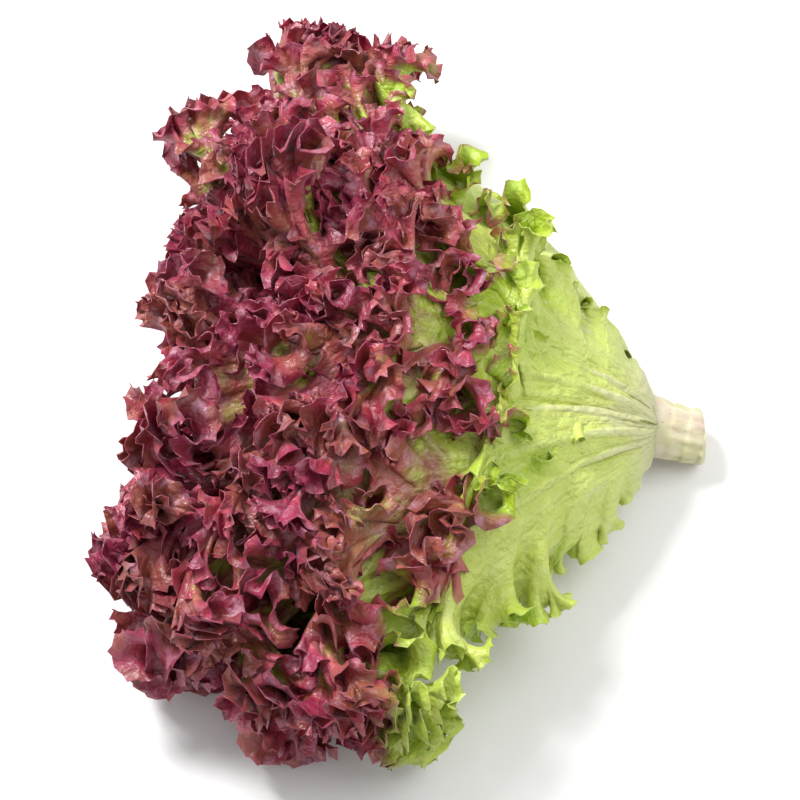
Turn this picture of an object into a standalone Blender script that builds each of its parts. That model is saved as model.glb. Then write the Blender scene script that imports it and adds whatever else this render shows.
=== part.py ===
"""Lollo rosso lettuce: a cut head lying on its side, its stem end towards +X.

The head is designed upright and then laid down. Upright, every leaf lies on its own surface of
revolution round the stem, one inside the next, so that leaves pass each other without touching.
The leaves follow each other up the stem by the golden angle, the lowest one outermost.
"""
import math

import bmesh
import bpy
import numpy as np
from mathutils import Vector

MM = 0.001

# Head, upright, in millimetres: height runs up the axis from the stem's cut end
LEAVES = 26
GOLDEN_ANGLE = math.radians(137.508)
FIRST_AZIMUTH = math.radians(-21)
STEM_OUT = 24.0
DOME_HEIGHT = 112.0
DOME_BACK = 100.0
DOME_FRONT = 96.0
DOME_RADIUS = 108.0
LOWEST_MARGIN = math.radians(-12)
MARGIN_RISE = math.radians(88)

# Stem: heights above the cut end, and its radius there
STEM_HEIGHTS = (0, 8, 22, 40, 62, 84)
STEM_RADII = (11.0, 11.5, 13.0, 11.5, 7.5, 3.0)
STEM_RINGS = (0, 0.8, 3, 6, 9, 12, 15, 19, 24, 32, 40, 50, 62, 74, 84)
STEM_SIDES = 16
STEM_BEVEL = 0.8
SCAR_SPACING = 7.0
SCAR_DEPTH = 0.7
STEM_GAP = 0.5

# Course of a leaf from the stem to the dome: angles from the axis, and how far each one reaches
LOWEST_FOOT = 3.0
FOOT_RISE = 52.0
LEAVE_OUTER = math.radians(74)
LEAVE_INNER = math.radians(20)
LEAVE_REACH = 0.40
ARRIVE = math.radians(78)
ARRIVE_TURN = 0.8
ARRIVE_REACH = 0.38

# Outline of a leaf, with random lobes drawn from a seed of its own for each leaf
LEAF_SEED = 7500
HALF_SPREAD = math.radians(62)
SPREAD_LOSS = math.radians(8)
FILL = 0.92
TOP_LOSS = 0.40
LEAST_RADIUS = 34.0
WIDEST = math.radians(66)
FOOT_HALF_WIDTH = 8.0
FOOT_LOSS = 3.0
FOOT_FROM = 0.62
OUTLINE_POWER = 2.6
OUTLINE_SWEEP = math.radians(150)
LOBES = 0.10
SIDE_LOBES = 0.06
LOBE_SPACING = 0.13
RIB_REACH = 0.62
RIB_FALL = 0.66

# Blade and its waves
BLADE = 0.9
MIDRIB = 1.8
WAVE_LENGTH = 33.0
WAVE_DEPTH = 52.0
WAVE_HEIGHT = 11.0
WAVE_SHARE = 0.40
MARGIN_SHARE = 0.08
WAVE_CLEAR = 2.0
WAVE_SLIDE = 0.14
WAVE_DRIFT = 0.45
FLARE = 18.0
FLARE_DEPTH = 13.0
FREE_FROM = 0.5
FREE_TO = 0.75
ROW_STOPS = (0.0, 0.36, 0.62, 0.82, 1.0)
SPLIT_FROM_ROWS = (2, 3)
COLUMNS_PER_WAVE = 4
NOTCH = 0.07
FOLD_LIMIT = 1.6

# The head lying down: how far it spreads and sinks under its own weight
AXIS_HEIGHT = 39.5
CORE = 15.0
SINK_ABOVE = 0.48
SINK_BELOW = 0.72
SPREAD_ASIDE = 0.45
SPREAD_AT_CROWN = 0.10
STEM_DROP = 30.4
STEM_SWING = 7.0
CROWN_BULGES = ((115, 20, 50), (27, -23, 38), (-85, 26, 42))
BULGE_FROM = 20.0
BULGE_TO = 150.0
FOOTPRINT_CENTRE = (-94.75, 10.1)
SNAP = 0.4


def ease(start, end, value):
    part = np.clip((value - start) / (end - start), 0, 1)
    return part * part * (3 - 2 * part)


def smooth_noise(rng, place, period):
    """Smooth random values between -1 and 1, with a new value each period along place."""
    knots = rng.uniform(-1, 1, int(np.ceil((place[-1] - place[0]) / period)) + 3)
    position = (place - place[0]) / period
    index = np.floor(position).astype(int)
    blend = ease(0, 1, position - index)
    return knots[index] * (1 - blend) + knots[index + 1] * blend


def lengths_along(points):
    steps = np.linalg.norm(np.diff(points, axis=0), axis=1)
    return np.concatenate([[0], np.cumsum(steps)])


def stem_radius(height):
    return np.interp(height, STEM_HEIGHTS, STEM_RADII)


def shell_profile(rank):
    """Height and radius along the shell of one leaf, from its foot on the stem to the dome.

    rank is 0 for the outermost leaf and 1 for the innermost.
    """
    margin = LOWEST_MARGIN + MARGIN_RISE * rank ** 0.92
    half = DOME_BACK if margin < 0 else DOME_FRONT
    foot_height = STEM_OUT - LOWEST_FOOT + FOOT_RISE * rank
    foot = np.array([foot_height, stem_radius(foot_height) + STEM_GAP])
    end = np.array([STEM_OUT + DOME_HEIGHT + half * math.sin(margin), DOME_RADIUS * math.cos(margin)])
    leave = LEAVE_OUTER + (LEAVE_INNER - LEAVE_OUTER) * rank
    arrive = ARRIVE - ARRIVE_TURN * margin
    reach = np.linalg.norm(end - foot)
    first = foot + LEAVE_REACH * reach * np.array([math.cos(leave), math.sin(leave)])
    second = end - ARRIVE_REACH * reach * np.array([math.cos(arrive), math.sin(arrive)])
    u = np.linspace(0, 1, 400)[:, None]
    v = 1 - u
    curve = v ** 3 * foot + 3 * v ** 2 * u * first + 3 * v * u ** 2 * second + u ** 3 * end
    along = lengths_along(curve)
    stops = np.linspace(0, along[-1], 80)
    even = [np.interp(stops, along, curve[:, axis]) for axis in (0, 1)]
    return np.stack(even, 1), along[-1]


def outline(rank, length, width, rng, count):
    """Margin of the flat leaf: distances across and along it at evenly spaced places."""
    place = np.linspace(0, 1, count)
    turn = 2 * place - 1
    side = np.abs(turn)
    angle = np.sign(turn) * side ** 0.9 * OUTLINE_SWEEP
    up = np.sign(np.cos(angle)) * np.abs(np.cos(angle)) ** (2 / OUTLINE_POWER)
    out = np.sign(np.sin(angle)) * np.abs(np.sin(angle)) ** (2 / OUTLINE_POWER)
    drawn_in = ease(FOOT_FROM, 1, side)
    wander = 1 + SIDE_LOBES * smooth_noise(rng, place, LOBE_SPACING)
    across = width * out * wander * (1 - drawn_in)
    across += np.sign(turn) * (FOOT_HALF_WIDTH - FOOT_LOSS * rank) * drawn_in
    lobes = 1 + LOBES * smooth_noise(rng, place, LOBE_SPACING)
    lobes += SIDE_LOBES * (rng.uniform(-1, 1) + rng.uniform(-1, 1) * turn)
    along = 0.5 * length * (1 + up) * lobes * (1 - drawn_in)
    return across, along


def unit(vectors):
    return vectors / (np.linalg.norm(vectors, axis=2, keepdims=True) + 1e-9)


def on_shell(rank, share, azimuth):
    """Points of the shell of one rank, laid down: share runs from 0 at the foot to 1 at the dome."""
    profile, length = shell_profile(rank)
    stops = np.linspace(0, 1, len(profile))
    end = (profile[-1] - profile[-2]) / np.linalg.norm(profile[-1] - profile[-2])
    beyond = np.clip(share - 1, 0, None) * length
    height = np.interp(share, stops, profile[:, 0]) + beyond * end[0]
    radius = np.interp(share, stops, profile[:, 1]) + beyond * end[1]
    upright = np.stack([height, radius * np.cos(azimuth), radius * np.sin(azimuth)], -1)
    return lay_down(upright), radius


def leaf_sheet(number, rows, columns):
    """Points of one waved leaf in the lying head, as an array of rows from midrib to margin.

    Its columns run along the margin, from one side of the foot over the tip to the other side.
    """
    rng = np.random.default_rng(LEAF_SEED + number)
    rank = number / (LEAVES - 1)
    profile, length = shell_profile(rank)
    width = max(profile[-1, 1], LEAST_RADIUS) * (HALF_SPREAD - SPREAD_LOSS * rank) * FILL
    margin_across, margin_along = outline(rank, length, width, rng, 600)
    home = FIRST_AZIMUTH + number * GOLDEN_ANGLE
    skyward = np.cos(home + margin_across / max(profile[-1, 1], LEAST_RADIUS))
    margin_along *= 1 - TOP_LOSS * ease(-0.1, 1, skyward) * (1 - rank) ** 1.5
    _, margin_radius = on_shell(rank, margin_along / length, home)
    fit = np.abs(margin_across) / (WIDEST * margin_radius)
    margin_across = margin_across / (1 + fit ** 8) ** 0.125

    # Columns are spread over the margin by waves of uneven length
    margin, _ = on_shell(rank, margin_along / length, home + margin_across / margin_radius)
    margin_length = lengths_along(margin)
    waves = max(6, round(margin_length[-1] / WAVE_LENGTH))
    column = np.linspace(0, 1, columns)
    drift = smooth_noise(rng, column, 3 / waves) + 0.6 * smooth_noise(rng, column, 1.4 / waves)
    drift = drift * WAVE_DRIFT / waves * ease(0, 0.1, column) * ease(0, 0.1, 1 - column)
    place = (column + drift) * margin_length[-1]
    across = np.interp(place, margin_length, margin_across)
    along = np.interp(place, margin_length, margin_along)

    side = np.abs(2 * column - 1)
    rib = np.minimum(RIB_REACH, RIB_FALL * (1 - side ** 1.5)) * length
    row = np.asarray(rows)[:, None]
    x = row * across
    share = ((1 - row) * rib + row * along) / length
    inside = (1 - row) * np.hypot(across, along - rib)
    _, radius = on_shell(rank, share, home)
    azimuth = home + x / radius
    sheet, _ = on_shell(rank, share, azimuth)

    # Waves across the shell stay within the room to the next leaves that it passes. Only the tip
    # of an upper leaf, which no other leaf covers, also flares outward.
    tangent = unit(np.gradient(sheet, axis=1))
    normal = unit(np.cross(tangent, np.gradient(sheet, axis=0)))
    step = 2 / (LEAVES - 1)
    other, _ = on_shell(rank + step if rank + step <= 1 else rank - step, share, azimuth)
    room = np.abs(np.sum((other - sheet) * normal, axis=2))
    beside_rib = 1 - ease(0.1, 0.32, np.abs(x / radius))
    room = room * (1 + 0.5 * beside_rib)
    share_of_room = WAVE_SHARE + MARGIN_SHARE * row ** 3
    height_limit = np.clip(share_of_room * (room - WAVE_CLEAR), 0, WAVE_HEIGHT)
    rise = np.clip(1 - inside / WAVE_DEPTH, 0, 1) ** 1.3 * ease(0, 0.3, row)
    rise = rise * ease(0.02, 0.16, column) * ease(0.02, 0.16, 1 - column)
    strength = rise * (0.9 + 0.30 * smooth_noise(rng, column, 1.1 / waves))
    phase = 2 * math.pi * waves * column
    wave = height_limit * strength * np.sin(phase)
    free = ease(0.3, 0.9, np.cos(azimuth)) * ease(FREE_TO, FREE_FROM, np.abs(x / radius))
    flare = FLARE * free * ease(FLARE_DEPTH, 0, inside) * ease(0.4, 0.55, share)
    sheet = sheet + (wave + flare * (0.5 + 0.5 * np.sin(phase)))[..., None] * normal
    sheet = sheet - (WAVE_SLIDE * WAVE_LENGTH * strength * np.sin(2 * phase))[..., None] * tangent
    sheet[..., 2] = np.maximum(sheet[..., 2], BLADE)
    return sheet, waves, share


def sink(distance, amount):
    """Distance from the axis after the head has sunk: full within the core, less beyond it."""
    return distance * (1 - amount) + amount * CORE * (1 - np.exp(-distance / CORE))


def lay_down(points):
    """Turns the upright head on its side, stem towards +X, spread and sunk by its own weight."""
    height, sky, aside = points[..., 0], points[..., 1], points[..., 2]
    past_stem = height - STEM_OUT
    spread = SPREAD_ASIDE + SPREAD_AT_CROWN * ease(110, 170, past_stem)
    to_stem = np.clip(DOME_HEIGHT - past_stem, 0, None) / (DOME_HEIGHT + STEM_OUT)
    drop = STEM_DROP * to_stem ** 1.5
    swing = STEM_SWING * ease(30, -STEM_OUT, past_stem)
    y = aside * (1 + spread * ease(10, 75, np.abs(aside))) - swing
    lift = np.where(sky > 0, sink(np.abs(sky), SINK_ABOVE), -sink(np.abs(sky), SINK_BELOW))
    bulge = sum(reach * np.exp(-((y - place) / width) ** 2) for place, reach, width in CROWN_BULGES)
    x = -past_stem - bulge * ease(BULGE_FROM, BULGE_TO, past_stem) - FOOTPRINT_CENTRE[0]
    return np.stack([x, y - FOOTPRINT_CENTRE[1], AXIS_HEIGHT + lift - drop], -1)


def read_sheet(sheet, rows, columns):
    """Points of a sheet at rows and columns given from 0 to 1, read between its own points."""
    last_row = sheet.shape[0] - 1
    last_column = sheet.shape[1] - 1
    row = np.clip((rows * last_row).astype(int), 0, last_row - 1)
    column = np.clip((columns * last_column).astype(int), 0, last_column - 1)
    down = (rows * last_row - row)[:, None]
    over = (columns * last_column - column)[:, None]
    upper = sheet[row, column] * (1 - over) + sheet[row, column + 1] * over
    lower = sheet[row + 1, column] * (1 - over) + sheet[row + 1, column + 1] * over
    return upper * (1 - down) + lower * down


def leaf_net(waves):
    """Flat net of one leaf, finer towards its margin: rows along y and margin columns along x."""
    net = bmesh.new()
    net.verts.layers.float.new("rib")
    net.verts.layers.float_vector.new("out")
    rows = len(ROW_STOPS) - 1
    bmesh.ops.create_grid(net, x_segments=waves, y_segments=rows, size=0.5)
    for vert in net.verts:
        vert.co = (vert.co.x + 0.5, round((vert.co.y + 0.5) * rows), 0)
    for first_row in SPLIT_FROM_ROWS:
        edges = [edge for edge in net.edges
                 if edge.verts[0].co.y == edge.verts[1].co.y and edge.verts[0].co.y >= first_row]
        bmesh.ops.subdivide_edges(net, edges=edges, cuts=1)
    return net


def add_leaf(number, material, collection):
    rows = np.linspace(0, 1, 41)
    sheet, waves, share = leaf_sheet(number, rows, 1201)
    net = leaf_net(waves)
    rib = net.verts.layers.float["rib"]
    verts = list(net.verts)
    row = np.interp([vert.co.y for vert in verts], range(len(ROW_STOPS)), ROW_STOPS)
    column = np.array([vert.co.x for vert in verts])
    between_waves = np.round(column * waves * COLUMNS_PER_WAVE) % 2 == 0
    row = np.where((row == 1) & between_waves, 1 - NOTCH, row)
    places = read_sheet(sheet, row, column) * MM
    foot_share = read_sheet(share[..., None], row, column)[:, 0]
    for vert, place, up, across in zip(verts, places, foot_share, row):
        vert.co = place
        vert[rib] = max(0, 1 - up / 0.7) * max(0, 1 - across / 0.5)
    middle = [vert for vert, across in zip(verts, row) if across == 0]
    bmesh.ops.remove_doubles(net, verts=middle, dist=0.01 * MM)
    bmesh.ops.triangulate(net, faces=net.faces[:])
    net.normal_update()
    return finish_leaf(net, number, material, collection)


def finish_leaf(net, number, material, collection):
    """Gives the net the blade's thickness, the midrib's on its outer side, and its flat underside."""
    rib = net.verts.layers.float["rib"]
    out = net.verts.layers.float_vector["out"]
    for vert in net.verts:
        vert[out] = vert.normal * min(vert.calc_shell_factor(), FOLD_LIMIT)
    blade = net.faces[:] + net.edges[:] + net.verts[:]
    outer = bmesh.ops.extrude_face_region(net, geom=blade, use_keep_orig=True)["geom"]
    for vert in outer:
        if isinstance(vert, bmesh.types.BMVert):
            vert.co += Vector(vert[out]) * (BLADE + vert[rib] * (MIDRIB - BLADE)) * MM
    for vert in net.verts:
        if vert.co.z < SNAP * MM:
            vert.co.z = 0
    name = f"leaf_{number + 1:02d}"
    mesh = bpy.data.meshes.new(name)
    net.to_mesh(mesh)
    net.free()
    mesh.materials.append(material)
    leaf = bpy.data.objects.new(name, mesh)
    collection.objects.link(leaf)
    return leaf


def stem_surface(height, angle):
    """Points of the stem, with leaf scars stepping round its bare end and a bevelled cut."""
    bare = 1 - ease(12, 20, height)
    scars = np.mod(height / SCAR_SPACING + angle / math.pi, 1) + 0.5 - 0.5 * np.cos(5 * angle)
    radius = stem_radius(height) - bare * SCAR_DEPTH * scars - STEM_BEVEL * (height == 0)
    return np.stack([height, radius * np.cos(angle), radius * np.sin(angle)], 1)


def add_stem(material, collection):
    net = bmesh.new()
    bmesh.ops.create_grid(net, x_segments=STEM_SIDES, y_segments=len(STEM_RINGS) - 1, size=0.5)
    angle = np.array([vert.co.x + 0.5 for vert in net.verts]) * 2 * math.pi
    row = np.array([vert.co.y + 0.5 for vert in net.verts]) * (len(STEM_RINGS) - 1)
    height = np.interp(row, range(len(STEM_RINGS)), STEM_RINGS)
    for vert, place in zip(net.verts, lay_down(stem_surface(height, angle)) * MM):
        vert.co = place
        vert.co.z = max(vert.co.z, 0)
    bmesh.ops.remove_doubles(net, verts=net.verts[:], dist=0.01 * MM)
    bmesh.ops.holes_fill(net, edges=net.edges[:], sides=0)
    bmesh.ops.recalc_face_normals(net, faces=net.faces[:])
    bmesh.ops.triangulate(net, faces=net.faces[:])
    mesh = bpy.data.meshes.new("stem")
    net.to_mesh(mesh)
    net.free()
    mesh.shade_smooth()
    mesh.set_sharp_from_angle(angle=math.radians(40))
    mesh.materials.append(material)
    stem = bpy.data.objects.new("stem", mesh)
    collection.objects.link(stem)
    return stem


def plain_material(name, color, roughness):
    material = bpy.data.materials.new(name)
    material.use_nodes = True
    shader = material.node_tree.nodes["Principled BSDF"]
    shader.inputs["Base Color"].default_value = (*color, 1)
    shader.inputs["Roughness"].default_value = roughness
    return material


for old in list(bpy.data.objects):
    bpy.data.objects.remove(old)

head = bpy.data.collections.new("lollo_rosso_lettuce")
bpy.context.scene.collection.children.link(head)
add_stem(plain_material("stem", (0.66, 0.60, 0.41), 0.5), head)
leaf_material = plain_material("leaf", (0.17, 0.045, 0.06), 0.4)
for number in range(LEAVES):
    add_leaf(number, leaf_material, head)
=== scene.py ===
import math

import bmesh
import bpy
import numpy as np
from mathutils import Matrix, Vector


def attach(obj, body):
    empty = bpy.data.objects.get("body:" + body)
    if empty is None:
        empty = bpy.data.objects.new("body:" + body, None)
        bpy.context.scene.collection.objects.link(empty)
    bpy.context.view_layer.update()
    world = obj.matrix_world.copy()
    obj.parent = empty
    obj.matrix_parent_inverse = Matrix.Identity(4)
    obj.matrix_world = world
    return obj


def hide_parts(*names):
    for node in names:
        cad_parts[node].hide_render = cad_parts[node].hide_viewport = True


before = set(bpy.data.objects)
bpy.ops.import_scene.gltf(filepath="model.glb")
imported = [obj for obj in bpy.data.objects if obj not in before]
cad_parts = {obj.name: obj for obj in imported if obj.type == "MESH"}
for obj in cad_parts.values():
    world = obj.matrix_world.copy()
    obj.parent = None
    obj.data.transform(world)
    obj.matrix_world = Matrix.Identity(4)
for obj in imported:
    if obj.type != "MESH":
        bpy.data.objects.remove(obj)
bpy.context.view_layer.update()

# Stem
# A short pale stub, cut through with a knife and marked by the scars of leaves pulled off round
# it. It goes on inside the head, thinner and thinner, and every leaf grows from it.
MM = 0.001
STEM_OUT = 24.0
STEM_HEIGHTS = (0, 8, 22, 40, 62, 84)
STEM_RADII = (11.0, 11.5, 13.0, 11.5, 7.5, 3.0)
STEM_LENGTH = 84.0
STEM_SIDES = 120
STEM_ROWS = 96
CUT_ROWS = 8
END_ROWS = 3
ROW_CROWDING = 1.7
STEM_BEVEL = 0.9
BEVEL_LENGTH = 1.6
BARE_FROM = 12.0
BARE_TO = 20.0
SCAR_SPACING = 7.0
SCAR_DEPTH = 1.0
SCAR_STEEP = 0.14
STEM_RIB_DEPTH = 0.35
COARSE_RIBS = 11
FINE_RIBS = 17
CUT_RING_HEIGHT = 0.5
CUT_HOLLOW = 0.9

# The whole head grows upright round the stem in these sizes, and is then laid on its side
DOME_HEIGHT = 112.0
AXIS_HEIGHT = 39.5
CORE = 15.0
SINK_ABOVE = 0.48
SINK_BELOW = 0.72
SPREAD_ASIDE = 0.45
SPREAD_FROM = 10.0
SPREAD_TO = 75.0
SPREAD_AT_CROWN = 0.10
CROWN_FROM = 110.0
CROWN_TO = 170.0
STEM_DROP = 30.4
DROP_POWER = 1.5
STEM_SWING = 7.0
SWING_FROM = 30.0
# Each bulge of the crown: its place across the head, how far it reaches, and its width
CROWN_BULGES = ((115, 20, 50), (27, -23, 38), (-85, 26, 42))
BULGE_FROM = 20.0
BULGE_TO = 150.0
FOOTPRINT_CENTRE = (-94.75, 10.1)
# The upper blades cling to the stem at their feet, drawn in by this share of their distance
NECK = 0.12
NECK_RADIUS = 14.0
NECK_FROM = 5.0
NECK_TO = 60.0


def ease(start, end, value):
    """Rises smoothly from 0 at the start to 1 at the end, and stays level outside them."""
    part = np.clip((value - start) / (end - start), 0, 1)
    return part * part * (3 - 2 * part)


def sink(distance, amount):
    """Distance from the axis after the head has sunk: full within the core, less beyond it."""
    return distance * (1 - amount) + amount * CORE * (1 - np.exp(-distance / CORE))


def draw_in(past_stem, sky, aside):
    """Gathers the blades of the upper side towards the stem, near their feet only."""
    distance = np.hypot(sky, aside) + 1e-6
    neck = NECK * ease(NECK_TO, NECK_FROM, past_stem) * ease(-0.6, 0.2, sky / distance)
    drawn = 1 - neck * np.clip(1 - NECK_RADIUS / distance, 0, 1)
    return sky * drawn, aside * drawn


def lay_down(points):
    """Turns the upright head on its side, stem towards +X, spread and sunk by its own weight."""
    past_stem = points[..., 0] - STEM_OUT
    sky, aside = draw_in(past_stem, points[..., 1], points[..., 2])
    spread = SPREAD_ASIDE + SPREAD_AT_CROWN * ease(CROWN_FROM, CROWN_TO, past_stem)
    to_stem = np.clip(DOME_HEIGHT - past_stem, 0, None) / (DOME_HEIGHT + STEM_OUT)
    drop = STEM_DROP * to_stem ** DROP_POWER
    swing = STEM_SWING * ease(SWING_FROM, -STEM_OUT, past_stem)
    y = aside * (1 + spread * ease(SPREAD_FROM, SPREAD_TO, np.abs(aside))) - swing
    lift = np.where(sky > 0, sink(np.abs(sky), SINK_ABOVE), -sink(np.abs(sky), SINK_BELOW))
    bulge = sum(reach * np.exp(-((y - place) / width) ** 2) for place, reach, width in CROWN_BULGES)
    x = -past_stem - bulge * ease(BULGE_FROM, BULGE_TO, past_stem) - FOOTPRINT_CENTRE[0]
    return np.stack([x, y - FOOTPRINT_CENTRE[1], AXIS_HEIGHT + lift - drop], -1)


def stem_radius(height):
    return np.interp(height, STEM_HEIGHTS, STEM_RADII)


def stem_surface(height, angle):
    """Points of the stem, with leaf scars stepping round its bare end and fine ribs along it."""
    bare = 1 - ease(BARE_FROM, BARE_TO, height)
    turn = np.mod(height / SCAR_SPACING + angle / math.pi, 1)
    scars = ease(0, 0.8, turn) * ease(1, 1 - SCAR_STEEP, turn) * (0.7 + 0.3 * np.cos(5 * angle))
    ribs = np.cos(COARSE_RIBS * angle + 0.12 * height) + 0.5 * np.cos(FINE_RIBS * angle - 0.2 * height)
    radius = stem_radius(height) + bare * (SCAR_DEPTH * (scars - 0.5) + STEM_RIB_DEPTH * ribs)
    radius = radius - STEM_BEVEL * ease(BEVEL_LENGTH, 0, height)
    return np.stack([height, radius * np.cos(angle), radius * np.sin(angle)], 1)


def shade(red, green, blue):
    """A colour as seen on a screen, from 0 to 255, as the linear one that a shader takes."""
    seen = np.array([red, green, blue]) / 255
    linear = np.where(seen <= 0.04045, seen / 12.92, ((seen + 0.055) / 1.055) ** 2.4)
    return (*linear.tolist(), 1)


class Paint:
    """A material's node tree, with short ways to add its nodes."""

    def __init__(self, name):
        self.material = bpy.data.materials.new(name)
        self.material.use_nodes = True
        self.tree = self.material.node_tree
        self.shader = self.tree.nodes["Principled BSDF"]
        self.place = self.add("TexCoord").outputs["Object"]

    def add(self, kind, settings=None, **inputs):
        made = self.tree.nodes.new("ShaderNode" + kind)
        for name, value in (settings or {}).items():
            setattr(made, name, value)
        for name, value in inputs.items():
            self.feed(made.inputs[name.replace("_", " ")], value)
        return made

    def feed(self, socket, value):
        if isinstance(value, bpy.types.NodeSocket):
            self.tree.links.new(value, socket)
        else:
            socket.default_value = value

    def finish(self, **values):
        """Sets single values on the shader's own sockets, with underscores for spaces."""
        for name, value in values.items():
            self.shader.inputs[name.replace("_", " ")].default_value = value

    def attribute(self, name, output="Fac"):
        return self.add("Attribute", {"attribute_name": name}).outputs[output]

    def noise(self, scale, detail=3.0, vector=None):
        made = self.add("TexNoise", Scale=scale, Detail=detail, Vector=vector or self.place)
        return made.outputs["Fac"]

    def stretched(self, vector, scale):
        return self.add("Mapping", Vector=vector, Scale=scale).outputs["Vector"]

    def maths(self, operation, *values):
        made = self.add("Math", {"operation": operation, "use_clamp": False})
        for socket, value in zip(made.inputs, values):
            self.feed(socket, value)
        return made.outputs[0]

    def spread(self, value, low, high, to_low=0.0, to_high=1.0):
        """Maps the value from one span to another, and holds it there."""
        made = self.add("MapRange", {"interpolation_type": "SMOOTHSTEP"}, Value=value)
        for name, number in zip(("From Min", "From Max", "To Min", "To Max"), (low, high, to_low, to_high)):
            made.inputs[name].default_value = number
        return made.outputs["Result"]

    def mix(self, factor, first, second):
        made = self.add("Mix", {"data_type": "RGBA"})
        for socket, value in ((0, factor), (6, first), (7, second)):
            self.feed(made.inputs[socket], value)
        return made.outputs[2]

    def ramp(self, value, stops):
        made = self.add("ValToRGB", Fac=value)
        steps = made.color_ramp.elements
        steps[0].position, steps[0].color = stops[0]
        steps[1].position, steps[1].color = stops[-1]
        for position, colour in stops[1:-1]:
            steps.new(position).color = colour
        return made.outputs["Color"]

    def bump(self, height, strength, distance):
        made = self.add("Bump", Height=height, Strength=strength, Distance=distance)
        return made.outputs["Normal"]


def stem_skin():
    """Pinkish white, greener in patches, with brown flecks and a drier cut."""
    paint = Paint("stem")
    patch = paint.spread(paint.noise(60, 4), 0.35, 0.65)
    colour = paint.mix(patch, shade(218, 208, 188), shade(200, 198, 150))
    pink = paint.spread(paint.noise(95, 3), 0.45, 0.7)
    colour = paint.mix(paint.maths("MULTIPLY", pink, 0.6), colour, shade(212, 180, 166))
    streak = paint.noise(420, 3, paint.stretched(paint.place, (0.16, 1, 1)))
    colour = paint.mix(paint.spread(streak, 0.55, 0.75, 0, 0.5), colour, shade(186, 170, 128))
    ring = paint.spread(paint.attribute("rim"), 0.8, 1, 0, 0.8)
    cut_face = paint.mix(ring, shade(205, 196, 140), shade(148, 132, 72))
    colour = paint.mix(paint.attribute("cut"), colour, cut_face)
    fleck = paint.spread(paint.noise(700, 2), 0.66, 0.74)
    colour = paint.mix(paint.maths("MULTIPLY", fleck, 0.5), colour, shade(140, 108, 70))
    paint.feed(paint.shader.inputs["Base Color"], colour)
    paint.feed(paint.shader.inputs["Normal"], paint.bump(streak, 0.35, 0.0006))
    paint.finish(Roughness=0.42, Subsurface_Weight=0.15, Subsurface_Scale=0.003)
    return paint.material


lettuce = bpy.data.collections.new("lollo_rosso_lettuce")
bpy.context.scene.collection.children.link(lettuce)


def finish_piece(net, name, material, node):
    """Makes the mesh an object in the lettuce, in place of its plain solid."""
    mesh = bpy.data.meshes.new(name)
    net.to_mesh(mesh)
    net.free()
    mesh.materials.append(material)
    piece = bpy.data.objects.new(name, mesh)
    lettuce.objects.link(piece)
    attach(piece, "root")
    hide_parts(node)


def build_stem():
    """A tube from a grid, closed by the cut face at its foot and by a small end inside the head."""
    net = bmesh.new()
    cut = net.verts.layers.float.new("cut")
    rim = net.verts.layers.float.new("rim")
    bmesh.ops.create_grid(net, x_segments=STEM_SIDES, y_segments=STEM_ROWS, size=0.5)
    angle = np.array([vert.co.x + 0.5 for vert in net.verts]) * 2 * math.pi
    row = np.round((np.array([vert.co.y + 0.5 for vert in net.verts])) * STEM_ROWS)
    on_cut = row < CUT_ROWS
    along = np.clip((row - CUT_ROWS) / (STEM_ROWS - CUT_ROWS - END_ROWS), 0, 1)
    out_from_axis = np.where(on_cut, row / CUT_ROWS, 1)
    out_from_axis = np.where(row > STEM_ROWS - END_ROWS, (STEM_ROWS - row) / END_ROWS, out_from_axis)
    points = stem_surface(STEM_LENGTH * along ** ROW_CROWDING, angle)
    points[:, 1:] *= out_from_axis[:, None]
    rings = CUT_RING_HEIGHT * np.sin(9 * out_from_axis)
    points[:, 0] += (rings + CUT_HOLLOW * (1 - out_from_axis)) * on_cut
    for vert, place, share, flat in zip(net.verts, lay_down(points) * MM, out_from_axis, on_cut):
        vert.co = place
        vert[cut] = float(flat)
        vert[rim] = share
    bmesh.ops.remove_doubles(net, verts=net.verts[:], dist=0.01 * MM)
    bmesh.ops.recalc_face_normals(net, faces=net.faces[:])
    for face in net.faces:
        face.smooth = True
    finish_piece(net, "stem_stub", stem_skin(), "stem")


build_stem()

# Leaves: how they stand
# The leaves follow each other round the stem by the golden angle, the lowest one outermost. Each
# fans out from a narrow foot and lies over the next ones, and the head has sunk under its weight.
LEAVES = 26
GOLDEN_ANGLE = math.radians(137.508)
FIRST_AZIMUTH = math.radians(-21)
DOME_BACK = 100.0
DOME_FRONT = 96.0
DOME_RADIUS = 108.0
LOWEST_MARGIN = math.radians(-12)
MARGIN_RISE = math.radians(88)
RISE_POWER = 0.92
STEM_GAP = 0.5
LOWEST_FOOT = 3.0
FOOT_RISE = 52.0
LEAVE_OUTER = math.radians(74)
LEAVE_INNER = math.radians(20)
LEAVE_REACH = 0.40
ARRIVE = math.radians(78)
ARRIVE_TURN = 0.8
ARRIVE_REACH = 0.38

# The flat leaf: its outline, which is shorter on the upper side, and its midrib
LEAF_SEED = 7500
HALF_SPREAD = math.radians(62)
SPREAD_LOSS = math.radians(8)
FILL = 0.92
TOP_LOSS = 0.40
LEAST_RADIUS = 34.0
WIDEST = math.radians(66)
FOOT_HALF_WIDTH = 8.0
FOOT_LOSS = 3.0
FOOT_FROM = 0.62
OUTLINE_POINTS = 600
OUTLINE_POWER = 2.6
OUTLINE_SWEEP = math.radians(150)
LOBES = 0.10
SIDE_LOBES = 0.06
LOBE_SPACING = 0.13
RIB_REACH = 0.62
RIB_FALL = 0.66

# The long waves of its margin, as high as the room between two leaves
WAVE_LENGTH = 33.0
FEWEST_WAVES = 6
WAVE_DEPTH = 52.0
WAVE_HEIGHT = 9.0
WAVE_SHARE = 0.46
WAVE_CLEAR = 1.0
WAVE_SLIDE = 0.10
WAVE_DRIFT = 0.45

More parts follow.
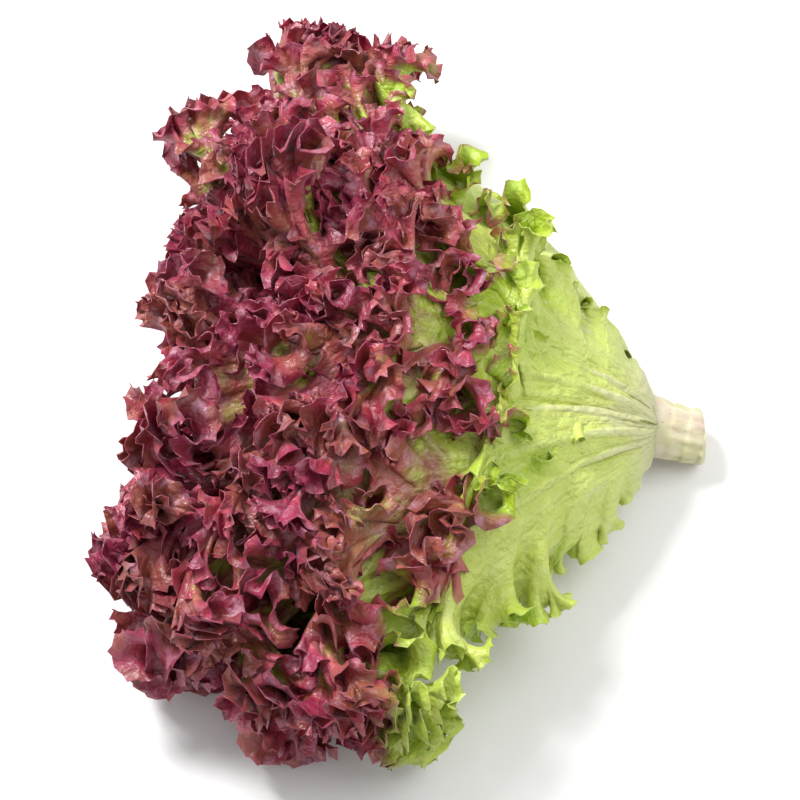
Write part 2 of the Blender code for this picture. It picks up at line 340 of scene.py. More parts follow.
# Columns run to each wave of the margin, and rows from the midrib to the margin, these
# distances inside it. The outer leaves show most of their blade, so they have more rows.
COLUMNS_BELOW = 72
COLUMNS_ABOVE = 120
COLUMN_STEP = 8
FINER = 4
EVEN_REACH = 30
MARGIN_STOPS = (40, 30, 22, 15.5, 10.5, 6.8, 3.9, 1.6, 0)
INNER_ROWS = 5
BARE_ROWS = 26
BACK_ROWS = 16
BARE_RANK = 0.25
FULL_SPAN = 64.0


def smooth_noise(rng, place, period):
    """Smooth random values between -1 and 1, with a new value each period along place."""
    knots = rng.uniform(-1, 1, int(np.ceil((place[-1] - place[0]) / period)) + 3)
    position = (place - place[0]) / period
    index = np.floor(position).astype(int)
    blend = ease(0, 1, position - index)
    return knots[index] * (1 - blend) + knots[index + 1] * blend


def lengths_along(points):
    steps = np.linalg.norm(np.diff(points, axis=0), axis=1)
    return np.concatenate([[0], np.cumsum(steps)])


def shell_profile(rank):
    """Height and radius along the shell of one leaf, from its foot on the stem to the dome.

    rank is 0 for the outermost leaf and 1 for the innermost.
    """
    margin = LOWEST_MARGIN + MARGIN_RISE * rank ** RISE_POWER
    half = DOME_BACK if margin < 0 else DOME_FRONT
    foot_height = STEM_OUT - LOWEST_FOOT + FOOT_RISE * rank
    foot = np.array([foot_height, stem_radius(foot_height) + STEM_GAP])
    end = np.array([STEM_OUT + DOME_HEIGHT + half * math.sin(margin), DOME_RADIUS * math.cos(margin)])
    leave = LEAVE_OUTER + (LEAVE_INNER - LEAVE_OUTER) * rank
    arrive = ARRIVE - ARRIVE_TURN * margin
    reach = np.linalg.norm(end - foot)
    first = foot + LEAVE_REACH * reach * np.array([math.cos(leave), math.sin(leave)])
    second = end - ARRIVE_REACH * reach * np.array([math.cos(arrive), math.sin(arrive)])
    u = np.linspace(0, 1, 400)[:, None]
    v = 1 - u
    curve = v ** 3 * foot + 3 * v ** 2 * u * first + 3 * v * u ** 2 * second + u ** 3 * end
    along = lengths_along(curve)
    stops = np.linspace(0, along[-1], 80)
    even = [np.interp(stops, along, curve[:, axis]) for axis in (0, 1)]
    return np.stack(even, 1), along[-1]


def on_shell(rank, share, azimuth):
    """Points of the shell of one rank, laid down: share runs from 0 at the foot to 1 at the dome."""
    profile, length = shell_profile(rank)
    stops = np.linspace(0, 1, len(profile))
    end = (profile[-1] - profile[-2]) / np.linalg.norm(profile[-1] - profile[-2])
    beyond = np.clip(share - 1, 0, None) * length
    height = np.interp(share, stops, profile[:, 0]) + beyond * end[0]
    radius = np.interp(share, stops, profile[:, 1]) + beyond * end[1]
    upright = np.stack([height, radius * np.cos(azimuth), radius * np.sin(azimuth)], -1)
    return lay_down(upright), radius


def outline(rank, length, width, rng):
    """Margin of the flat leaf: distances across and along it at evenly spaced places."""
    place = np.linspace(0, 1, OUTLINE_POINTS)
    turn = 2 * place - 1
    side = np.abs(turn)
    angle = np.sign(turn) * side ** 0.9 * OUTLINE_SWEEP
    up = np.sign(np.cos(angle)) * np.abs(np.cos(angle)) ** (2 / OUTLINE_POWER)
    out = np.sign(np.sin(angle)) * np.abs(np.sin(angle)) ** (2 / OUTLINE_POWER)
    drawn_in = ease(FOOT_FROM, 1, side)
    wander = 1 + SIDE_LOBES * smooth_noise(rng, place, LOBE_SPACING)
    across = width * out * wander * (1 - drawn_in)
    across += np.sign(turn) * (FOOT_HALF_WIDTH - FOOT_LOSS * rank) * drawn_in
    lobes = 1 + LOBES * smooth_noise(rng, place, LOBE_SPACING)
    lobes += SIDE_LOBES * (rng.uniform(-1, 1) + rng.uniform(-1, 1) * turn)
    along = 0.5 * length * (1 + up) * lobes * (1 - drawn_in)
    return across, along


def fitted_outline(leaf, rng):
    """The outline, shorter where the leaf lies on top and nowhere wider than the head allows."""
    rank, length, home = leaf["rank"], leaf["length"], leaf["home"]
    at_dome = max(shell_profile(rank)[0][-1, 1], LEAST_RADIUS)
    width = at_dome * (HALF_SPREAD - SPREAD_LOSS * rank) * FILL
    across, along = outline(rank, length, width, rng)
    skyward = np.cos(home + across / at_dome)
    along *= 1 - TOP_LOSS * ease(-0.1, 1, skyward) * (1 - rank) ** 1.5
    _, radius = on_shell(rank, along / length, home)
    fit = np.abs(across) / (WIDEST * radius)
    across = across / (1 + fit ** 8) ** 0.125
    margin, _ = on_shell(rank, along / length, home + across / radius)
    return across, along, lengths_along(margin)


def set_out(leaf, rng):
    """Sets out columns along the margin and rows from the midrib to the margin of the flat leaf."""
    across, along, margin_length = fitted_outline(leaf, rng)
    waves = max(FEWEST_WAVES, round(margin_length[-1] / WAVE_LENGTH))
    facing_up = ease(-0.2, 0.5, math.cos(leaf["home"]))
    more_above = round((COLUMNS_ABOVE - COLUMNS_BELOW) / COLUMN_STEP * facing_up)
    count = COLUMNS_BELOW + COLUMN_STEP * more_above
    column = np.linspace(0, 1, waves * count * FINER + 1)
    drift = smooth_noise(rng, column, 3 / waves) + 0.6 * smooth_noise(rng, column, 1.4 / waves)
    drift = drift * WAVE_DRIFT / waves * ease(0, 0.1, column) * ease(0, 0.1, 1 - column)
    place = (column + drift) * margin_length[-1]
    across = np.interp(place, margin_length, across)
    along = np.interp(place, margin_length, along)

    side = np.abs(2 * column - 1)
    rib = np.minimum(RIB_REACH, RIB_FALL * (1 - side ** 1.5)) * leaf["length"]
    span = np.hypot(across, along - rib)
    margin_zone = np.array(MARGIN_STOPS)[:, None] * np.minimum(1, span / FULL_SPAN)
    bare_rows = BARE_ROWS if facing_up > 0.5 else BACK_ROWS
    blade_rows = bare_rows if leaf["rank"] < BARE_RANK else INNER_ROWS
    towards_rib = 1 - np.arange(blade_rows)[:, None] / blade_rows
    inner = towards_rib * (span - margin_zone[0]) + margin_zone[0]
    inside = np.concatenate([inner, margin_zone])
    row = 1 - inside / span
    x = row * across
    y = (1 - row) * rib + row * along
    leaf.update(column=column, waves=waves, blade_rows=blade_rows, inside=inside, row=row, x=x, y=y)


def unit(vectors):
    return vectors / (np.linalg.norm(vectors, axis=2, keepdims=True) + 1e-9)


def evened(values):
    """Each row of vectors averaged over the columns near each one."""
    kernel = np.hanning(2 * EVEN_REACH + 3)[1:-1]
    kernel = kernel / kernel.sum()
    return np.apply_along_axis(
        lambda line: np.convolve(np.pad(line, EVEN_REACH, mode="edge"), kernel, "valid"), 1, values)


def lay_on_shell(leaf, rng):
    """Lays the flat leaf on its shell and raises the long waves of its margin."""
    rank, column, inside, waves = leaf["rank"], leaf["column"], leaf["inside"], leaf["waves"]
    share = leaf["y"] / leaf["length"]
    _, radius = on_shell(rank, share, leaf["home"])
    azimuth = leaf["home"] + leaf["x"] / radius
    sheet, _ = on_shell(rank, share, azimuth)
    run = evened(np.gradient(sheet, axis=1))
    tangent = unit(run)
    normal = unit(np.cross(tangent, np.gradient(sheet, axis=0)))

    step = 2 / (LEAVES - 1)
    other, _ = on_shell(rank + step if rank + step <= 1 else rank - step, share, azimuth)
    room = np.abs(np.sum((other - sheet) * normal, axis=2))
    beside_rib = 1 - ease(0.1, 0.32, np.abs(leaf["x"] / radius))
    room = room * (1 + 0.5 * beside_rib)
    height_limit = np.clip(WAVE_SHARE * (room - WAVE_CLEAR), 0, WAVE_HEIGHT)
    rise = np.clip(1 - inside / WAVE_DEPTH, 0, 1) ** 1.3 * ease(0, 0.3, leaf["row"])
    rise = rise * ease(0.02, 0.16, column) * ease(0.02, 0.16, 1 - column)
    strength = rise * (0.9 + 0.30 * smooth_noise(rng, column, 1.1 / waves))
    phase = 2 * math.pi * waves * column
    sheet = sheet + (height_limit * strength * np.sin(phase))[..., None] * normal
    slide = -(WAVE_SLIDE * WAVE_LENGTH * strength * np.sin(2 * phase))[..., None] * tangent
    leaf.update(sheet=sheet, run=run, normal=normal, slide=slide, share=share, azimuth=azimuth)


def plain_leaf(number):
    """One leaf with its long waves but no frills yet, as arrays of rows from midrib to margin.

    Its columns run along the margin, from one side of the foot over the tip to the other side.
    """
    rng = np.random.default_rng(LEAF_SEED + number)
    rank = number / (LEAVES - 1)
    _, length = shell_profile(rank)
    leaf = {"number": number, "rank": rank, "length": length, "home": FIRST_AZIMUTH + number * GOLDEN_ANGLE}
    set_out(leaf, rng)
    lay_on_shell(leaf, rng)
    return leaf


# Leaves: their frills
# The margin of a lollo rosso leaf grows much longer than the blade that carries it, so it buckles
# into folds, these into curled lobes and small crimps, and it is set with sharp little teeth.
FRILL_SEED = 9400
LEAN_DEPTH = 28.0
LEAN = math.radians(48)
STRETCH = 7.0
STRETCH_DEPTH = 30.0
# Spots where the margins grew longer or shorter: place towards the stem, place across, how much
LONGER_SPOTS = (
    (-90, 100, -15), (-84, 64, 13), (-85, -132, 8), (-28, -148, 7),
    (20, -120, 6), (47, -98, 11), (70, -54, 9), (72, 30, 4),
)
SPOT_RADIUS = 24.0
RUN_SHARE = 0.7
FRILL_WANDER = 1.3
FRILL_JITTER = 0.6
FRILL_UNEVEN = 0.45
FRILL_LEAN = 0.35
FOLD_LENGTH = 32.0
FOLD_DEPTH = 38.0
FOLD_TURN = math.radians(54)
FOLD_SLIDE = 0.10
LOBE_LENGTH = 16.0
LOBE_DEPTH = 15.0
LOBE_TURN = math.radians(80)
LOBE_SLIDE = 0.12
LIP_DEPTH = 5.0
LIP_TURN = math.radians(48)
CRIMP_LENGTH = 9.0
CRIMP_DEPTH = 7.0
CRIMP_TURN = math.radians(34)
CRIMP_SLIDE = 0.06
TOOTH_SPACING = 7.0
TOOTH_HEIGHT = 1.6
TOOTH_HOLLOW = 0.22
HOLLOW_WIDTH = 3.0

# Ribs and pleats fan out from a point below the foot, with blisters between them. They start
# beyond the foot, branch on the way, and fade out where the frills begin.
RIB_SOURCE = 12.0
RIB_ANGLE = math.radians(9.5)
RIB_HEIGHT = 1.6
RIB_WANDER = 0.16
PLEAT_ANGLE = math.radians(17)
PLEAT_HEIGHT = 2.4
PLEAT_WANDER = 0.4
BLISTER = 7.5
SMALL_BLISTER = 4.0
BLISTER_HEIGHT = 0.7
RIBS_FROM = 14.0
RIBS_TO = 40.0
BRANCH_FROM = 50.0
BRANCH_TO = 75.0
PLEATS_TO = 45.0
FRILLS_FROM = 10.0
FRILLS_TO = 30.0
# Below this height the leaves bend along the floor, and they stay this much above it
FLOOR_SOFT = 5.0
FLOOR_LEAST = 0.6


def patches(rng, across, along):
    """Smooth random values between -1 and 1 over a plane, about one patch to each unit."""
    across, along = across - across.min(), along - along.min()
    knots = rng.uniform(-1, 1, (int(across.max()) + 2, int(along.max()) + 2))
    left, low = np.floor(across).astype(int), np.floor(along).astype(int)
    side, up = ease(0, 1, across - left), ease(0, 1, along - low)
    near = knots[left, low] * (1 - side) + knots[left + 1, low] * side
    far = knots[left, low + 1] * (1 - side) + knots[left + 1, low + 1] * side
    return near * (1 - up) + far * up


def swell(leaf):
    """Raises ribs that fan out from the foot, and blisters between them, and presses in pleats."""
    rng = np.random.default_rng(FRILL_SEED + 900 + leaf["number"])
    fan = np.arctan2(leaf["x"], leaf["y"] + RIB_SOURCE)
    away = np.hypot(leaf["x"], leaf["y"] + RIB_SOURCE)
    turn = 2 * math.pi * (fan / RIB_ANGLE + RIB_WANDER * patches(rng, fan * 3, away / 30))
    branch = ease(BRANCH_FROM, BRANCH_TO, away)
    ridge = np.clip((np.cos(turn) + branch * np.cos(2 * turn) - 0.1) / (0.9 + branch), 0, 1) ** 2
    blister = patches(rng, fan * away / BLISTER, away / BLISTER)
    blister = blister + 0.5 * patches(rng, fan * away / SMALL_BLISTER, away / SMALL_BLISTER)
    on_blade = ease(FRILLS_FROM, FRILLS_TO, leaf["inside"]) * ease(RIBS_FROM, RIBS_TO, away)
    height = RIB_HEIGHT * ridge + BLISTER_HEIGHT * blister * (1 - 0.7 * ridge)
    bent = fan / PLEAT_ANGLE + PLEAT_WANDER * patches(rng, fan * 2, away / 40)
    pleat = (1 - np.abs(np.sin(math.pi * bent))) ** 2
    height = on_blade * (height - PLEAT_HEIGHT * pleat * ease(RIBS_FROM, PLEATS_TO, away))
    leaf["ridge"] = ridge * on_blade
    leaf["sheet"] = leaf["sheet"] + height[..., None] * leaf["normal"]


def curl(leaf, angle):
    """Turns each step from row to row about the margin's direction and lays the steps end to end."""
    sheet = leaf["sheet"]
    tangent = unit(evened(np.gradient(sheet, axis=1)) + RUN_SHARE * leaf["run"])
    axis = unit(tangent[:-1] + tangent[1:])
    half = 0.5 * (angle[:-1] + angle[1:])[..., None]
    step = np.diff(sheet, axis=0)
    kept = axis * np.sum(axis * step, axis=2, keepdims=True)
    turned = step * np.cos(half) + np.cross(axis, step) * np.sin(half) + kept * (1 - np.cos(half))
    leaf["sheet"] = np.concatenate([sheet[:1], sheet[:1] + np.cumsum(turned, axis=0)])
    return tangent


def lean_out(leaf, rng, near):
    """Flares the free margins outward, most on the upper side."""
    up = ease(-0.6, 0.6, np.cos(leaf["azimuth"]))
    tip = ease(0.35, 0.75, leaf["share"])
    lean = LEAN * (0.35 + 0.65 * up) * tip * near
    lean = lean * (1 + 0.5 * smooth_noise(rng, leaf["column"], 2.1 / leaf["waves"]))
    curl(leaf, np.clip(1 - leaf["inside"] / LEAN_DEPTH, 0, 1) * lean)


def growth_at_spots(margin):
    """How much longer the margin grew at each of its points."""
    x, y = margin[:, 0], margin[:, 1]
    return sum(more * np.exp(-((x - forward) ** 2 + (y - aside) ** 2) / SPOT_RADIUS ** 2)
               for forward, aside, more in LONGER_SPOTS)


def grow(leaf, rng, near, growth):
    """Lengthens the margin unevenly, and by the given growth."""
    outward = unit(np.gradient(leaf["sheet"], axis=0))
    longer = STRETCH * smooth_noise(rng, leaf["column"], 0.9 / leaf["waves"]) * near + growth
    longer = longer * np.clip(1 - leaf["inside"] / STRETCH_DEPTH, 0, 1)
    leaf["sheet"] = leaf["sheet"] + outward * longer[..., None]


def ruffle(leaf, rng, length, depth, turn, slide, near, lip_turn=0.0):
    """Adds curls along the margin, of uneven length and strength, with a rolled lip if asked."""
    arc = lengths_along(leaf["sheet"][-1])
    count = max(3, round(arc[-1] / length))
    phase = 2 * math.pi * count * arc / arc[-1] + rng.uniform(0, 2 * math.pi)
    phase = phase + FRILL_WANDER * smooth_noise(rng, arc, length * 1.3)
    phase = phase + FRILL_JITTER * smooth_noise(rng, arc, length * 0.7)
    gain = 1 + FRILL_UNEVEN * smooth_noise(rng, arc, length * 0.9)
    lean = FRILL_LEAN * smooth_noise(rng, arc, length * 1.5)
    rise = np.clip(1 - leaf["inside"] / depth, 0, 1) * near
    lip = lip_turn * ease(LIP_DEPTH, 0, leaf["inside"]) * np.tanh(2 * np.sin(phase)) * near
    tangent = curl(leaf, rise * turn * gain * (np.sin(phase) + lean) + lip)
    leaf["slide"] = leaf["slide"] - (rise * slide * length * gain * np.sin(2 * phase))[..., None] * tangent


def even_columns(leaf):
    """Keeps one column in FINER, evenly spaced along the frilled margin and alike on both halves."""
    arc = lengths_along(leaf["sheet"][-1])
    both = arc + arc[-1] - arc[::-1]
    kept = np.interp(np.linspace(0, both[-1], (len(arc) - 1) // FINER + 1), both, np.arange(len(arc)))
    half = np.round(kept[:len(kept) // 2]).astype(int)
    pick = np.concatenate([half, [(len(arc) - 1) // 2], len(arc) - 1 - half[::-1]])
    for name in ("sheet", "inside", "row", "x", "y", "share", "ridge"):
        leaf[name] = leaf[name][:, pick]
    leaf["column"] = leaf["column"][pick]


def cut_teeth(leaf, rng):
    """Pulls single points of the margin out into teeth, with hollows between them."""
    sheet = leaf["sheet"]
    arc = lengths_along(sheet[-1])
    steps = rng.uniform(0.5, 1.5, int(arc[-1] / TOOTH_SPACING * 1.6)) * TOOTH_SPACING
    places = np.cumsum(steps)
    places = places[places < arc[-1]]
    nearest = np.searchsorted(arc, places)
    tooth = np.zeros(len(arc))
    tooth[nearest] = rng.uniform(0.35, 1, len(nearest))
    gap = np.abs(arc[:, None] - places[None, :]).min(axis=1)
    hollow = -TOOTH_HOLLOW * ease(0, HOLLOW_WIDTH, gap)
    near = ease(0.02, 0.08, leaf["column"]) * ease(0.02, 0.08, 1 - leaf["column"])
    near = near * (0.4 + 0.6 * ease(0.35, 0.6, leaf["share"][-1]))
    outward = unit(sheet[-1:] - sheet[-3:-2])[0]
    beyond = TOOTH_HEIGHT * (tooth + hollow) * near
    sheet[-1] += outward * beyond[:, None]
    sheet[-2] += outward * 0.3 * beyond[:, None]


def keep_off_floor(leaf):
    """Bends the lowest parts along the floor, softly, in place of letting them go through it."""
    low = leaf["sheet"][..., 2]
    room = FLOOR_SOFT - FLOOR_LEAST
    bent = FLOOR_LEAST + room * np.exp((low - FLOOR_SOFT) / room)
    leaf["sheet"][..., 2] = np.where(low < FLOOR_SOFT, bent, low)


def frilled_leaf(number):
    """The leaf with its ribs and frills. Only the smallest frills are strong beside the foot."""
    leaf = plain_leaf(number)
    swell(leaf)
    rng = np.random.default_rng(FRILL_SEED + number)
    column = leaf["column"][None, :]
    past_foot = ease(0.01, 0.10, column) * ease(0.01, 0.10, 1 - column)
    far_up = ease(0.35, 0.65, leaf["share"][-1:])
    large = past_foot * (0.3 + 0.7 * far_up)
    small = past_foot * (1.6 - 0.6 * far_up)
    growth = growth_at_spots(leaf["sheet"][-1]) * past_foot
    lean_out(leaf, rng, large)
    grow(leaf, rng, large, growth)
    ruffle(leaf, rng, FOLD_LENGTH, FOLD_DEPTH, FOLD_TURN, FOLD_SLIDE, large)
    ruffle(leaf, rng, LOBE_LENGTH, LOBE_DEPTH, LOBE_TURN, LOBE_SLIDE, large, LIP_TURN)
    ruffle(leaf, rng, CRIMP_LENGTH, CRIMP_DEPTH, CRIMP_TURN, CRIMP_SLIDE, small)
    leaf["sheet"] = leaf["sheet"] + leaf["slide"]
    even_columns(leaf)
    cut_teeth(leaf, rng)
    keep_off_floor(leaf)
    return leaf


# Leaves: colour
# Wine red where the light reaches the margins, through brown and olive to yellow-green inside the
# head and pale green at the foot. A net of paler veins, a fine waxy bloom that is partly a painted
# mauve highlight, and a pink edge line.
INNER_TONES = (
    (0.00, shade(196, 217, 66)),
    (0.12, shade(170, 202, 28)),
    (0.22, shade(158, 146, 46)),
    (0.36, shade(160, 106, 56)),
    (0.54, shade(164, 66, 58)),
    (0.78, shade(180, 42, 74)),
    (1.00, shade(150, 30, 72)),
)
OUTER_TONES = (
    (0.00, shade(214, 228, 100)),
    (0.12, shade(194, 214, 58)),
    (0.22, shade(176, 160, 72)),
    (0.36, shade(190, 132, 90)),
    (0.54, shade(192, 96, 84)),
    (0.78, shade(204, 74, 98)),
    (1.00, shade(176, 52, 90)),
)
BROWN = shade(158, 92, 60)
# Mauve of the waxy bloom, which also serves as a painted highlight on the red lobes
BLOOM_AND_HIGHLIGHT = shade(212, 158, 182)
SAP_GREEN = shade(178, 212, 12)
GREEN_VEIN = shade(218, 228, 150)
RED_VEIN = shade(196, 104, 122)
STREAK = shade(224, 236, 136)
RIB_GREEN = shade(224, 234, 132)
FOOT_WHITE = shade(228, 228, 172)
GREEN_EDGE = shade(206, 220, 110)
RED_EDGE = shade(176, 54, 92)
GLOW = 0.24
FAN_WIDTH = 60.0
FAN_SQUEEZE = 0.45
BLUSH_DEPTH = 13.0
BLUSH_DEEPER = 11.0
BLUSH_START = 0.30
BLUSH_LATER = 0.42
EDGE_DEPTH = 4.0
EDGE_BLUSH = 0.35
SHADE_LOSS = 0.3
NEAR_END_LOSS = 0.6
FAR_END_LOSS = 0.3
FAR_SIDE_LOSS = 0.2
LEAST_BLUSH = 0.2
CROWN_GAIN = 0.16
HEART_GAIN = 0.04
PALE_FOOT = 0.95
PALE_MIDRIB = 0.5
PALE_RIBS = 0.6


def leaf_skin():
    paint = Paint("leaf")
    blush = paint.attribute("blush")
    cloud = paint.maths("MULTIPLY_ADD", paint.noise(26, 2), 1.3, -0.65)
    patch = paint.maths("MULTIPLY_ADD", paint.noise(95, 3), 1.1, -0.55)
    uneven = paint.maths("MULTIPLY", paint.maths("ADD", cloud, patch), paint.spread(blush, 0.04, 0.28))
    tone = paint.maths("ADD", blush, uneven)
    red = paint.spread(tone, 0.24, 0.44)
    green = paint.maths("SUBTRACT", 1.0, red)
    inner, outer = paint.ramp(tone, INNER_TONES), paint.ramp(tone, OUTER_TONES)
    colour = paint.mix(paint.attribute("under"), inner, outer)
    brown = paint.maths("MULTIPLY", paint.spread(paint.noise(42, 3), 0.44, 0.62, 0, 0.7), red)
    colour = paint.mix(brown, colour, BROWN)
    # Mauve blotches on the red parts: partly waxy bloom, partly painted highlight
    bloom_and_highlight = paint.maths("MULTIPLY", paint.spread(paint.noise(150, 5), 0.52, 0.68, 0, 0.5), red)
    colour = paint.mix(bloom_and_highlight, colour, BLOOM_AND_HIGHLIGHT)
    sap = paint.maths("MULTIPLY", paint.spread(paint.noise(36, 2), 0.45, 0.70, 0, 0.7), green)
    colour = paint.mix(sap, colour, SAP_GREEN)

    # Veins follow the fan of ribs: a net of small cells, and streaks along the leaf
    fan = paint.attribute("fan", "Vector")
    net = paint.add("TexVoronoi", {"feature": "DISTANCE_TO_EDGE"}, Vector=fan, Scale=330.0)
    cell = net.outputs["Distance"]
    vein = paint.maths("MULTIPLY", paint.spread(cell, 0.0, 0.10, 1, 0), 0.16)
    colour = paint.mix(vein, colour, paint.mix(red, GREEN_VEIN, RED_VEIN))
    streak = paint.noise(420, 3, paint.stretched(fan, (1, 0.1, 1)))
    streaked = paint.maths("MULTIPLY", paint.spread(streak, 0.5, 0.68, 0, 0.45), green)
    colour = paint.mix(streaked, colour, STREAK)

    pale = paint.attribute("pale")
    colour = paint.mix(pale, colour, paint.mix(paint.spread(pale, 0.7, 0.95), RIB_GREEN, FOOT_WHITE))
    edge = paint.spread(paint.attribute("margin"), 0.0, 0.6, 0.5, 0)
    colour = paint.mix(edge, colour, paint.mix(red, GREEN_EDGE, RED_EDGE))
    paint.feed(paint.shader.inputs["Base Color"], colour)

    paint.feed(paint.shader.inputs["Roughness"], paint.spread(paint.noise(260, 3), 0.4, 0.65, 0.38, 0.58))
    paint.finish(Specular_IOR_Level=1.0, Coat_Weight=0.18, Coat_Roughness=0.45)
    paint.finish(Sheen_Weight=0.2, Sheen_Roughness=0.35, Sheen_Tint=(1.0, 0.80, 0.92, 1))
    cushion = paint.maths("MULTIPLY", paint.spread(cell, 0.0, 0.32), 0.35)
    quilt = paint.maths("MULTIPLY", paint.noise(300, 2), 1.5)
    grain = paint.maths("MULTIPLY_ADD", paint.noise(900, 2), 0.25, paint.maths("MULTIPLY", streak, 1.5))
    relief = paint.maths("ADD", cushion, paint.maths("ADD", quilt, grain))
    paint.feed(paint.shader.inputs["Normal"], paint.bump(relief, 0.9, 0.0011))

    glow = paint.add("BsdfTranslucent", Color=colour)
    both = paint.add("MixShader", Fac=GLOW)
    paint.tree.links.new(paint.shader.outputs[0], both.inputs[1])
    paint.tree.links.new(glow.outputs[0], both.inputs[2])
    paint.tree.links.new(both.outputs[0], paint.tree.nodes["Material Output"].inputs["Surface"])
    return paint.material


def leaf_colours(leaf):
    """How red, and how pale, each point of the leaf is, and where it lies on the fan of veins."""
    rng = np.random.default_rng(FRILL_SEED + 500 + leaf["number"])
    rank, share, inside = leaf["rank"], leaf["share"], leaf["inside"]
    wander = 1 + 0.4 * smooth_noise(rng, leaf["column"], 1.6 / leaf["waves"])
    uneven = 0.06 * smooth_noise(rng, leaf["column"], 0.8 / leaf["waves"])

    # Parts of the head that stay greener, by their place towards the stem and across the head
    to_stem, aside = leaf["sheet"][..., 0], leaf["sheet"][..., 1]
    flank = ease(-48, -12, to_stem) * ease(52, 22, to_stem) * ease(-10, -55, aside)
    shaded = ease(5, 45, to_stem) * ease(-10, -60, aside)
    near_end = ease(-18, 4, to_stem) * ease(-98, -120, aside)
    far_end = ease(-20, 12, to_stem) * ease(60, 110, aside)

    depth = (BLUSH_DEPTH + BLUSH_DEEPER * rank) * wander * (1 + 1.4 * flank)
    start = BLUSH_START + BLUSH_LATER * ease(0.18, 0.0, rank)
    blush = np.exp(-inside / depth) * (1 - 0.42 * flank)
    blush = blush * ease(start, start + 0.32, share + 0.2 * flank + uneven)
    blush = np.maximum(blush, LEAST_BLUSH * ease(45, 10, to_stem))
    blush = blush - SHADE_LOSS * shaded - NEAR_END_LOSS * near_end
    blush = blush - FAR_END_LOSS * far_end - FAR_SIDE_LOSS * ease(0, 60, aside)
    blush = np.clip(blush + CROWN_GAIN * ease(10, -70, to_stem), 0, 1) + HEART_GAIN * rank
    edge = EDGE_BLUSH * np.exp(-inside / EDGE_DEPTH) * ease(50, 36, to_stem)
    edge = edge * (1 - 0.7 * shaded) * (1 - far_end) * (1 - near_end)
    blush = blush + edge * ease(0.35, 0.55, share) * (1 - blush)

    midrib = ease(0.08, 0.0, np.abs(leaf["x"] / leaf["length"])) * ease(0.75, 0.3, share)
    ribs = leaf["ridge"] * ease(0.95, 0.45, share)
    pale = PALE_FOOT * ease(0.5, 0.02, share) + PALE_MIDRIB * midrib + PALE_RIBS * ribs

    fan = np.arctan2(leaf["x"], leaf["y"] + RIB_SOURCE) * FAN_WIDTH * MM
    from_foot = np.hypot(leaf["x"], leaf["y"] + RIB_SOURCE) * FAN_SQUEEZE * MM
    fan = np.stack([fan, from_foot, np.full_like(fan, leaf["number"])], -1)
    return {"blush": blush, "pale": np.clip(pale, 0, 0.9), "margin": inside, "fan": fan}


# Leaves: the pieces
# Each blade is one thin sheet, thicker along the midrib at its foot, closed all round its margin.
# It is modelled as a flat net first, which then takes its places and its thickness.
BLADE = 0.45
MARGIN_BLADE = 0.28
MIDRIB = 1.8
MIDRIB_SHARE = 0.7
MIDRIB_ROWS = 0.5
COLUMN_SPLITS = (0, 2, 5)


def leaf_net(leaf):
    """Flat net with eight times as many columns at the margin as along the midrib."""
    net = bmesh.new()
    rows = leaf["sheet"].shape[0] - 1
    columns = (len(leaf["column"]) - 1) // 2 ** len(COLUMN_SPLITS)
    bmesh.ops.create_grid(net, x_segments=columns, y_segments=rows, size=0.5)
    for vert in net.verts:
        vert.co = (vert.co.x + 0.5, round((vert.co.y + 0.5) * rows), 0)
    for split in COLUMN_SPLITS:
        first_row = leaf["blade_rows"] + split
        edges = [edge for edge in net.edges
                 if edge.verts[0].co.y == edge.verts[1].co.y and edge.verts[0].co.y >= first_row]
        bmesh.ops.subdivide_edges(net, edges=edges, cuts=1)
    return net


def take_places(net, leaf, floats):
    """Moves the flat net onto the leaf and writes the leaf's colours to it."""
    colours = leaf_colours(leaf)
    fan = net.verts.layers.float_vector.new("fan")
    fans = colours.pop("fan").tolist()
    foot_share = np.clip(1 - leaf["share"] / MIDRIB_SHARE, 0, 1)
    colours["rib"] = foot_share * np.clip(1 - leaf["row"] / MIDRIB_ROWS, 0, 1)
    values = {name: value.tolist() for name, value in colours.items()}
    places = (leaf["sheet"] * MM).tolist()
    last = len(leaf["column"]) - 1
    for vert in net.verts:
        row, column = round(vert.co.y), round(vert.co.x * last)
        vert.co = places[row][column]
        vert[fan] = fans[row][column]
        for name, value in values.items():
            vert[floats[name]] = value[row][column]


def thicken(net, floats):
    """Gives the sheet its second side, outward, and keeps its margin sharp."""
    out = net.verts.layers.float_vector.new("out")
    net.normal_update()
    for vert in net.verts:
        vert[out] = vert.normal
    everything = net.faces[:] + net.edges[:] + net.verts[:]
    thick = bmesh.ops.extrude_face_region(net, geom=everything, use_keep_orig=True)
    outer = {item for item in thick["geom"] if isinstance(item, bmesh.types.BMVert)}
    for vert in outer:
        blade = MARGIN_BLADE + (BLADE - MARGIN_BLADE) * min(vert[floats["margin"]] / 4, 1)
        vert.co += Vector(vert[out]) * (blade + vert[floats["rib"]] * (MIDRIB - BLADE)) * MM
        vert[floats["under"]] = 1
    for face in net.faces:
        face.smooth = True
        if 0 < sum(vert in outer for vert in face.verts) < len(face.verts):
            for edge in face.edges:
                edge.smooth = len({vert in outer for vert in edge.verts}) == 2
    for vert in net.verts:
        vert.co.z = max(vert.co.z, 0)


def build_leaf(number, material):
    leaf = frilled_leaf(number)
    net = leaf_net(leaf)
    names = ("blush", "pale", "margin", "under", "rib")
    floats = {name: net.verts.layers.float.new(name) for name in names}
    take_places(net, leaf, floats)
    middle = [vert for vert in net.verts if vert[floats["margin"]] > 0 and vert.is_boundary]
    bmesh.ops.remove_doubles(net, verts=middle, dist=0.01 * MM)
    bmesh.ops.triangulate(net, faces=[face for face in net.faces if len(face.verts) > 4])
    thicken(net, floats)
    node = f"leaf_{number + 1:02d}"
    finish_piece(net, f"frilled_{node}", material, node)


skin = leaf_skin()
for number in range(LEAVES):
    build_leaf(number, skin)

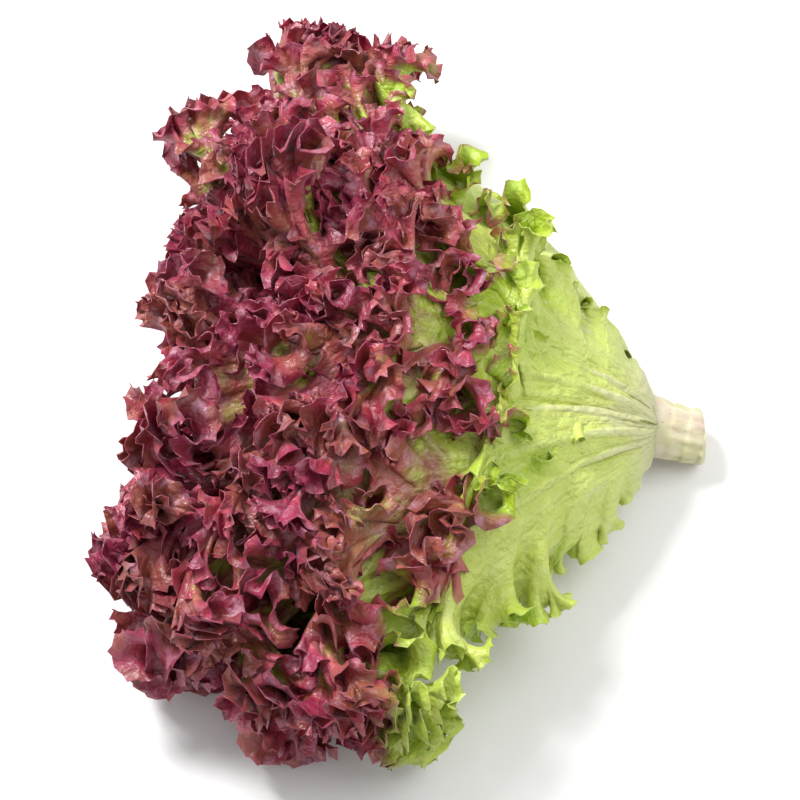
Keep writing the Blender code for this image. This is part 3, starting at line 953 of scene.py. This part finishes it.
# Floor, light and camera
# A plain pale floor under one large soft lamp, a weaker one from the stem's side and an even sky.
# The camera looks down steeply, with the stem to the right.
VIEW_HEIGHT = math.radians(64)
VIEW_DISTANCE = 1.1
VIEW_HALF_WIDTH = 0.156
VIEW_TARGET = Vector((-0.003, -0.0176, 0.045))
SENSOR = 36.0
FLOOR_HALF = 2.5
FLOOR_GREY = 0.93
SKY_STRENGTH = 0.55


def add_floor():
    net = bmesh.new()
    bmesh.ops.create_grid(net, x_segments=1, y_segments=1, size=FLOOR_HALF)
    mesh = bpy.data.meshes.new("floor")
    net.to_mesh(mesh)
    net.free()
    paint = Paint("floor")
    paint.finish(Base_Color=(FLOOR_GREY, FLOOR_GREY, FLOOR_GREY, 1), Roughness=0.8)
    mesh.materials.append(paint.material)
    floor = bpy.data.objects.new("floor", mesh)
    bpy.context.scene.collection.objects.link(floor)


def add_lamp(name, place, size, power):
    light = bpy.data.lights.new(name, "AREA")
    light.size = size
    light.energy = power
    lamp = bpy.data.objects.new(name, light)
    lamp.location = place
    lamp.rotation_euler = (VIEW_TARGET - Vector(place)).to_track_quat("-Z", "Y").to_euler()
    bpy.context.scene.collection.objects.link(lamp)


def add_camera():
    camera = bpy.data.cameras.new("camera")
    camera.sensor_width = SENSOR
    camera.lens = SENSOR * VIEW_DISTANCE / (2 * VIEW_HALF_WIDTH)
    eye = bpy.data.objects.new("camera", camera)
    back = Vector((0, -math.cos(VIEW_HEIGHT), math.sin(VIEW_HEIGHT)))
    eye.location = VIEW_TARGET + back * VIEW_DISTANCE
    eye.rotation_euler = (-back).to_track_quat("-Z", "Y").to_euler()
    bpy.context.scene.collection.objects.link(eye)
    bpy.context.scene.camera = eye


def add_sky():
    world = bpy.data.worlds.new("sky")
    world.use_nodes = True
    background = world.node_tree.nodes["Background"]
    background.inputs["Color"].default_value = (1, 1, 1, 1)
    background.inputs["Strength"].default_value = SKY_STRENGTH
    bpy.context.scene.world = world


add_floor()
add_lamp("window", place=(-0.6, 0.5, 1.0), size=0.4, power=18)
add_lamp("fill", place=(0.6, 0.1, 0.9), size=0.8, power=5)
add_camera()
add_sky()
bpy.context.scene.view_settings.view_transform = "Standard"
